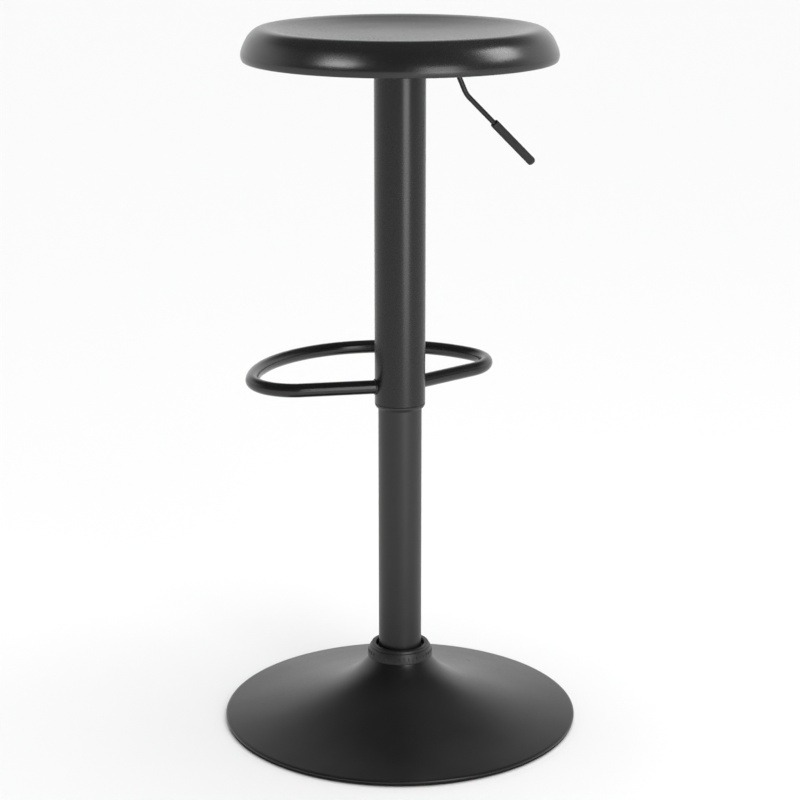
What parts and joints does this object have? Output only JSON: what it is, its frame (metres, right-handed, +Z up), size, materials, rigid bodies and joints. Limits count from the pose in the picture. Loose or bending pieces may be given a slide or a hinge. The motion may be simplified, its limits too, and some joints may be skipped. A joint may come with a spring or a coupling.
{
  "type": "bar stool",
  "caption": "Height-adjustable swivel bar stool: round dished metal seat on a gas-lift column with a D-shaped tube footrest, a side lever and a flared pedestal base.",
  "frame": {"origin": "on the floor, on the column's axis, at the middle of the base", "axes": "+Z up along the column; the viewer stands on the -Y side; the footrest's own axis points 115.8 degrees from +X and the lever 25.8 degrees from +X"},
  "size_m": [0.415, 0.415, 0.8129],
  "materials": {
    "gloss_black_coat": "semi-gloss black powder coat on steel",
    "satin_black_coat": "satin black powder coat on steel",
    "black_plastic": "matt moulded black plastic",
    "black_rubber": "matt black rubber",
    "dark_iron": "raw dark steel sheet with a thin wash of paint",
    "black_steel": "drawn steel with black oxide",
    "bright_steel": "bright zinc-plated or ground steel",
    "brass": "turned brass"
  },
  "bodies": {
    "base": {"base_shell": "satin_black_coat", "floor_ring": "black_rubber", "base_plate": "dark_iron", "base_ballast": "dark_iron", "base_screw_1": "bright_steel", "base_screw_2": "bright_steel", "base_screw_3": "bright_steel", "base_screw_4": "bright_steel", "base_socket": "dark_iron", "neck_ring": "dark_iron", "collar_ring": "black_plastic", "column_tube": "satin_black_coat", "column_bush": "black_plastic", "column_foot": "dark_iron", "bearing_washer_lower": "bright_steel", "bearing_cage": "bright_steel"},
    "piston": {"bearing_washer_upper": "bright_steel", "piston_rod": "bright_steel", "rod_clip": "black_steel", "rod_washer": "bright_steel", "piston_head": "bright_steel", "piston_seal": "black_rubber"},
    "seat_lift": {"gas_cylinder": "black_steel", "cylinder_guide": "black_plastic", "valve_block": "brass", "cover_tube": "gloss_black_coat", "cover_bush": "black_plastic", "seat_hub": "dark_iron", "foot_ring": "gloss_black_coat", "seat_pan": "gloss_black_coat", "seat_stiffener": "dark_iron", "lift_bracket": "satin_black_coat", "seat_washer_1": "bright_steel", "seat_screw_1": "bright_steel", "seat_washer_2": "bright_steel", "seat_screw_2": "bright_steel", "seat_washer_3": "bright_steel", "seat_screw_3": "bright_steel", "seat_washer_4": "bright_steel", "seat_screw_4": "bright_steel", "lever_pivot": "bright_steel"},
    "lever": {"lever_rod": "gloss_black_coat", "lever_grip": "black_plastic"},
    "valve": {"valve_button": "bright_steel"}
  },
  "joints": [
    {"name": "seat_swivel", "type": "hinge", "parent": "base", "child": "piston", "pos_m": [0, 0, 0.02], "axis": [0, 0, 1], "continuous": true},
    {"name": "seat_height", "type": "slide", "parent": "piston", "child": "seat_lift", "axis": [0, 0, 1], "range_m": [-0.21, 0], "stiffness_N_per_m": 500, "springref_m": 0.7},
    {"name": "lever_lift", "type": "hinge", "parent": "seat_lift", "child": "lever", "pos_m": [0.02521, 0.01219, 0.7755], "axis": [0.4352, -0.9003, 0], "range_deg": [0, 7], "stiffness_Nm_per_rad": 2, "springref_deg": -5.73},
    {"name": "valve_press", "type": "slide", "parent": "seat_lift", "child": "valve", "axis": [0, 0, 1], "range_m": [-0.0036, 0]}
  ],
  "couplings": [
    {"joint": "valve_press", "follows": "lever_lift", "m_per_rad": -0.028}
  ]
}
